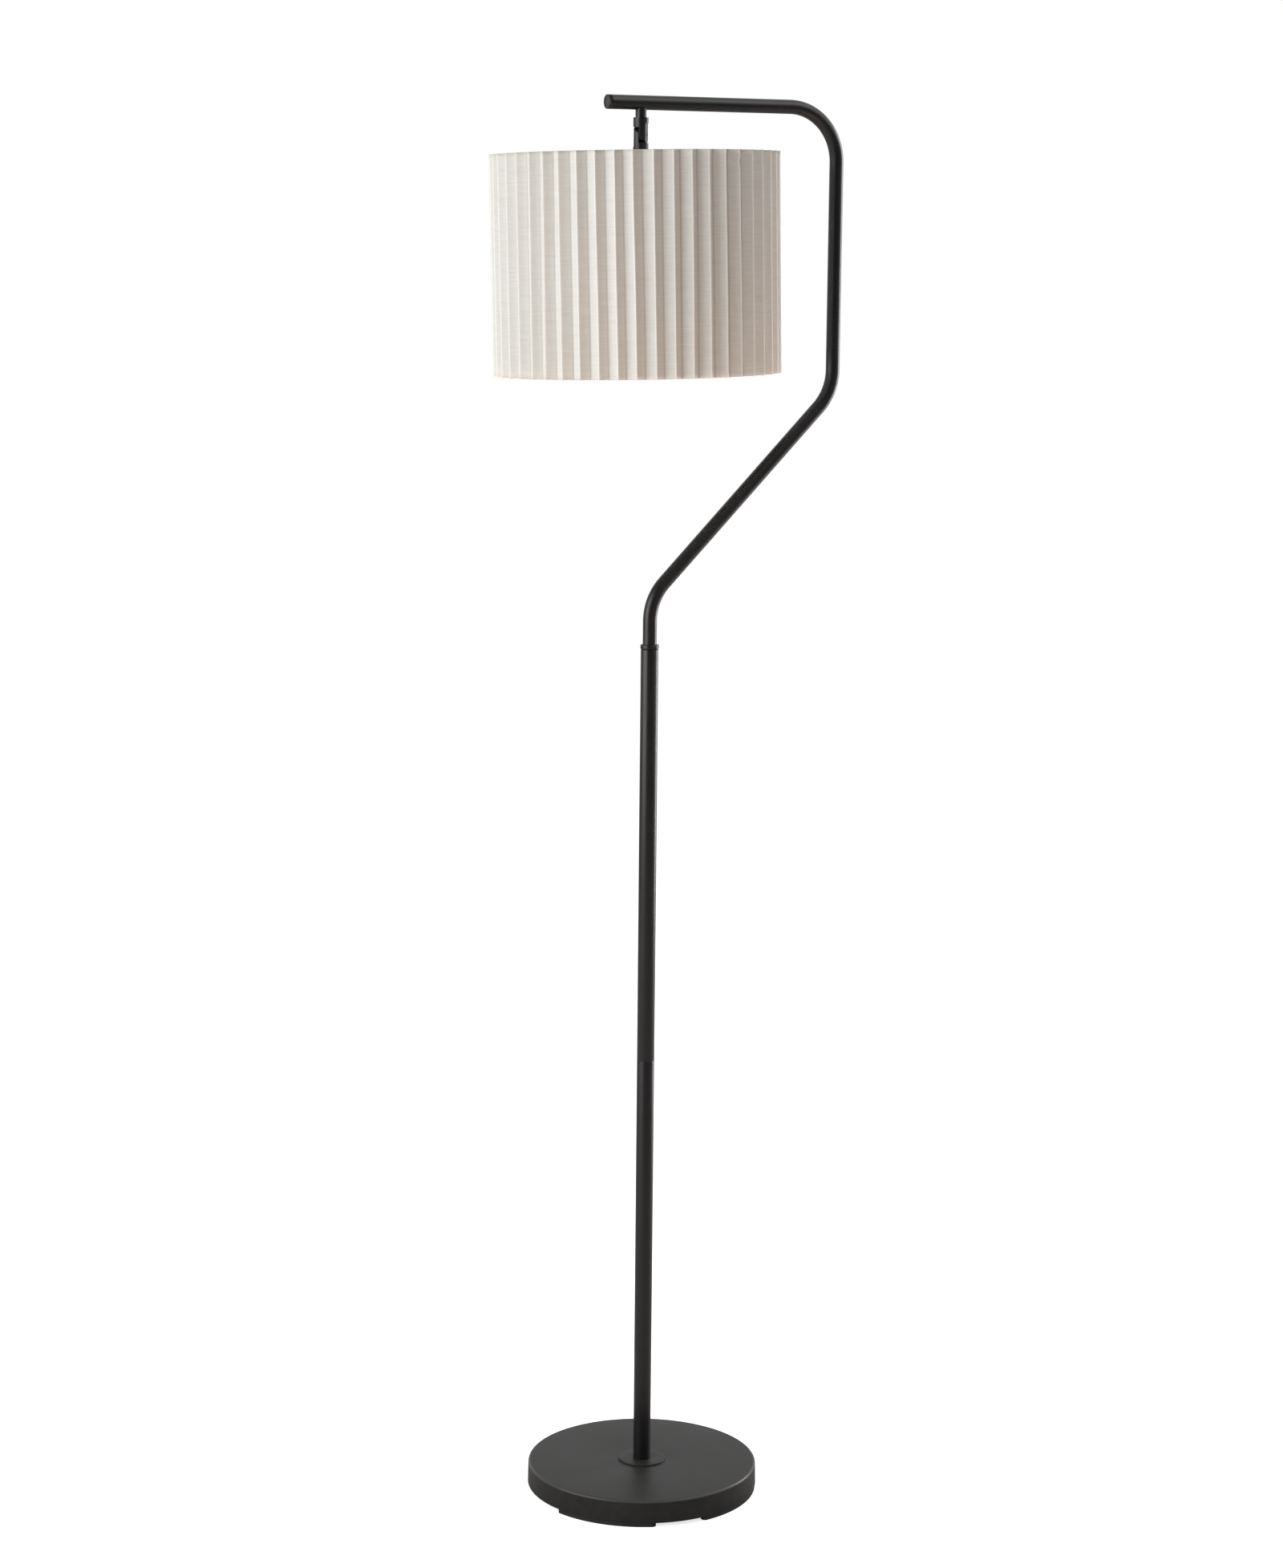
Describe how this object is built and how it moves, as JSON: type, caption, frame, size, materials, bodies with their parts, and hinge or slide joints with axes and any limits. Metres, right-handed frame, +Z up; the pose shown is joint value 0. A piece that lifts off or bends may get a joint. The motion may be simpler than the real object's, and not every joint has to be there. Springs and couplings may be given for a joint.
{
  "type": "bridge floor lamp",
  "caption": "Floor lamp with a round weighted base, a straight pole, a bent tube arm and a pleated drum shade that hangs from a tilting swivel.",
  "frame": {"origin": "centre of the round base on the floor, on the axis of the pole", "axes": "+Z up along the pole, +X from the pole towards the arm's upright, so the arm lies in the XZ plane; the cord inlet faces +Y"},
  "size_m": [0.3938, 0.3056, 1.52],
  "materials": {
    "satin_black": "satin powder coat",
    "base_black": "satin powder coat, faintly mottled",
    "black_screw": "blackened steel",
    "cement": "cast, dull",
    "black_board": "matte",
    "pad_foam": "matte foam rubber",
    "black_nylon": "satin",
    "zinc_steel": "zinc plated",
    "phenolic": "gloss",
    "socket_brass": "satin",
    "insulator": "matte",
    "bulb_cap": "satin",
    "bulb_frost": "frosted inside",
    "linen": "plain weave with slubs",
    "liner_white": "matte",
    "white_wire": "satin"
  },
  "bodies": {
    "stand": {"lower_pole": "satin_black", "upper_pole": "satin_black", "arm_tube": "satin_black", "arm_collar": "satin_black", "arm_nipple": "satin_black", "knuckle_upper": "satin_black", "base_cover": "base_black", "pole_escutcheon": "base_black", "knuckle_screw": "black_screw", "knuckle_nut": "black_screw", "base_weight": "cement", "base_bottom_plate": "black_board", "foot_pads": "pad_foam", "cord_bushing": "black_nylon", "arm_end_cap": "black_nylon", "base_stud": "zinc_steel", "stud_washer": "zinc_steel", "stud_nut": "zinc_steel", "pole_plugs": "zinc_steel", "joint_stud": "zinc_steel"},
    "head": {"knuckle_lower": "satin_black", "socket_cap": "phenolic", "socket_shell": "phenolic", "socket_floor": "insulator", "socket_contact": "socket_brass", "socket_screw_shell": "socket_brass", "socket_retainer": "phenolic", "bulb_base": "bulb_cap", "bulb_glass": "bulb_frost", "shade_pleats": "linen", "shade_liner": "liner_white", "shade_top_ring": "white_wire", "shade_bottom_ring": "white_wire", "shade_fitter": "white_wire"},
    "switch": {"switch_shaft": "socket_brass", "switch_knob": "phenolic"}
  },
  "joints": [
    {"name": "shade_tilt", "type": "hinge", "parent": "stand", "child": "head", "pos_m": [-0.016, 0, 1.4794], "axis": [0.7431, -0.6691, 0], "range_deg": [-90, 24]},
    {"name": "switch_turn", "type": "hinge", "parent": "head", "child": "switch", "pos_m": [0.01253, 0.00927, 1.4339], "axis": [0.9511, 0.309, 0], "continuous": true}
  ]
}
